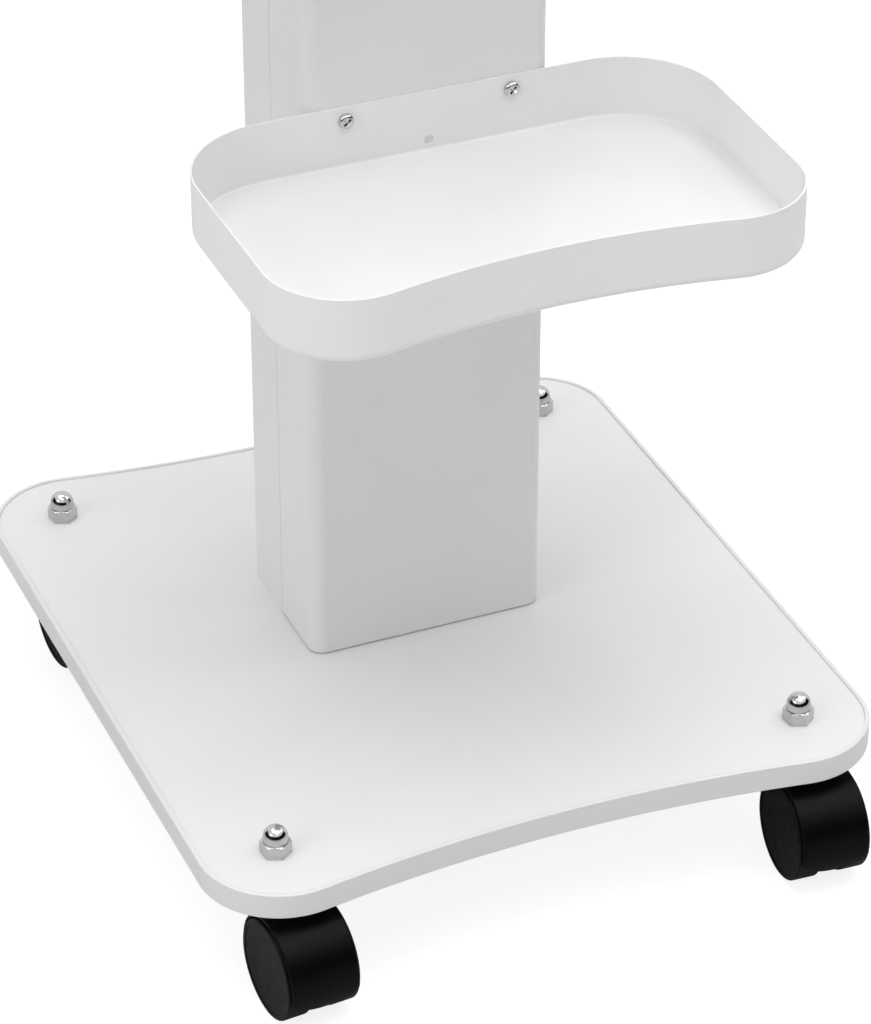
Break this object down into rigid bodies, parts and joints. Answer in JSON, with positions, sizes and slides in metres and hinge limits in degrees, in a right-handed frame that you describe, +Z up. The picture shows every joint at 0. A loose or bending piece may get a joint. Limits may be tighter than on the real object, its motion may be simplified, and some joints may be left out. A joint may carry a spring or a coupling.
{
  "type": "medical supply cart",
  "caption": "Pedestal cart on twin-wheel swivel casters: a sheet-metal column on a board base, a shallow tray on its front and a rimmed platform on top.",
  "frame": {"origin": "on the floor under the middle of the whole cart", "axes": "+Z up the column, -Y towards the front, where the tray hangs, +X to the right seen from the front"},
  "size_m": [0.415, 0.4794, 0.847],
  "materials": {
    "base_board": "white melamine-faced board",
    "edge_trim": "satin white edging",
    "column_paint": "fine satin off-white powder coat",
    "tray_paint": "smooth satin white powder coat",
    "plated_nut": "bright nickel plate",
    "plated_screw": "bright zinc plate",
    "steel": "plain zinc plate",
    "caster_housing": "black satin moulding",
    "wheel_plastic": "black satin moulding"
  },
  "bodies": {
    "cart": {"base_board": "base_board", "base_edge_trim": "edge_trim", "cap_nuts": "plated_nut", "stem_rings": "steel", "column_rear_channel": "column_paint", "column_front_cover": "column_paint", "foot_bracket": "steel", "head_bracket": "steel", "foot_backing_plate": "steel", "foot_bolts": "steel", "foot_washers": "steel", "foot_nuts": "steel", "column_screws": "plated_screw", "cover_screws": "plated_screw", "supply_tray_floor": "tray_paint", "supply_tray_rim": "tray_paint", "tray_screws": "plated_screw", "tray_nuts": "steel", "top_platform": "tray_paint", "platform_studs": "steel", "platform_nuts": "steel", "front_left_caster_stem": "steel", "front_right_caster_stem": "steel", "rear_left_caster_stem": "steel", "rear_right_caster_stem": "steel"},
    "front_left_caster": {"front_left_caster_housing": "caster_housing", "front_left_caster_axle": "steel"},
    "front_left_outboard_wheel_body": {"front_left_outboard_wheel": "wheel_plastic"},
    "front_left_inboard_wheel_body": {"front_left_inboard_wheel": "wheel_plastic"},
    "front_right_caster": {"front_right_caster_housing": "caster_housing", "front_right_caster_axle": "steel"},
    "front_right_inboard_wheel_body": {"front_right_inboard_wheel": "wheel_plastic"},
    "front_right_outboard_wheel_body": {"front_right_outboard_wheel": "wheel_plastic"},
    "rear_left_caster": {"rear_left_caster_housing": "caster_housing", "rear_left_caster_axle": "steel"},
    "rear_left_outboard_wheel_body": {"rear_left_outboard_wheel": "wheel_plastic"},
    "rear_left_inboard_wheel_body": {"rear_left_inboard_wheel": "wheel_plastic"},
    "rear_right_caster": {"rear_right_caster_housing": "caster_housing", "rear_right_caster_axle": "steel"},
    "rear_right_inboard_wheel_body": {"rear_right_inboard_wheel": "wheel_plastic"},
    "rear_right_outboard_wheel_body": {"rear_right_outboard_wheel": "wheel_plastic"}
  },
  "joints": [
    {"name": "front_left_swivel", "type": "hinge", "parent": "cart", "child": "front_left_caster", "pos_m": [-0.1635, -0.17545, 0.07], "axis": [0, 0, 1], "continuous": true},
    {"name": "front_left_outboard_roll", "type": "hinge", "parent": "front_left_caster", "child": "front_left_outboard_wheel_body", "pos_m": [-0.17578, -0.20663, 0.03], "axis": [0.9962, 0.0872, 0], "continuous": true},
    {"name": "front_left_inboard_roll", "type": "hinge", "parent": "front_left_caster", "child": "front_left_inboard_wheel_body", "pos_m": [-0.14599, -0.20403, 0.03], "axis": [0.9962, 0.0872, 0], "continuous": true},
    {"name": "front_right_swivel", "type": "hinge", "parent": "cart", "child": "front_right_caster", "pos_m": [0.1635, -0.17545, 0.07], "axis": [0, 0, 1], "continuous": true},
    {"name": "front_right_inboard_roll", "type": "hinge", "parent": "front_right_caster", "child": "front_right_inboard_wheel_body", "pos_m": [0.147, -0.20462, 0.03], "axis": [0.9986, -0.0523, 0], "continuous": true},
    {"name": "front_right_outboard_roll", "type": "hinge", "parent": "front_right_caster", "child": "front_right_outboard_wheel_body", "pos_m": [0.17686, -0.20619, 0.03], "axis": [0.9986, -0.0523, 0], "continuous": true},
    {"name": "rear_left_swivel", "type": "hinge", "parent": "cart", "child": "rear_left_caster", "pos_m": [-0.1635, 0.19655, 0.07], "axis": [0, 0, 1], "continuous": true},
    {"name": "rear_left_outboard_roll", "type": "hinge", "parent": "rear_left_caster", "child": "rear_left_outboard_wheel_body", "pos_m": [-0.17578, 0.16537, 0.03], "axis": [0.9962, 0.0872, 0], "continuous": true},
    {"name": "rear_left_inboard_roll", "type": "hinge", "parent": "rear_left_caster", "child": "rear_left_inboard_wheel_body", "pos_m": [-0.14599, 0.16797, 0.03], "axis": [0.9962, 0.0872, 0], "continuous": true},
    {"name": "rear_right_swivel", "type": "hinge", "parent": "cart", "child": "rear_right_caster", "pos_m": [0.1635, 0.19655, 0.07], "axis": [0, 0, 1], "continuous": true},
    {"name": "rear_right_inboard_roll", "type": "hinge", "parent": "rear_right_caster", "child": "rear_right_inboard_wheel_body", "pos_m": [0.15014, 0.16581, 0.03], "axis": [0.9986, 0.0523, 0], "continuous": true},
    {"name": "rear_right_outboard_roll", "type": "hinge", "parent": "rear_right_caster", "child": "rear_right_outboard_wheel_body", "pos_m": [0.18, 0.16738, 0.03], "axis": [0.9986, 0.0523, 0], "continuous": true}
  ]
}
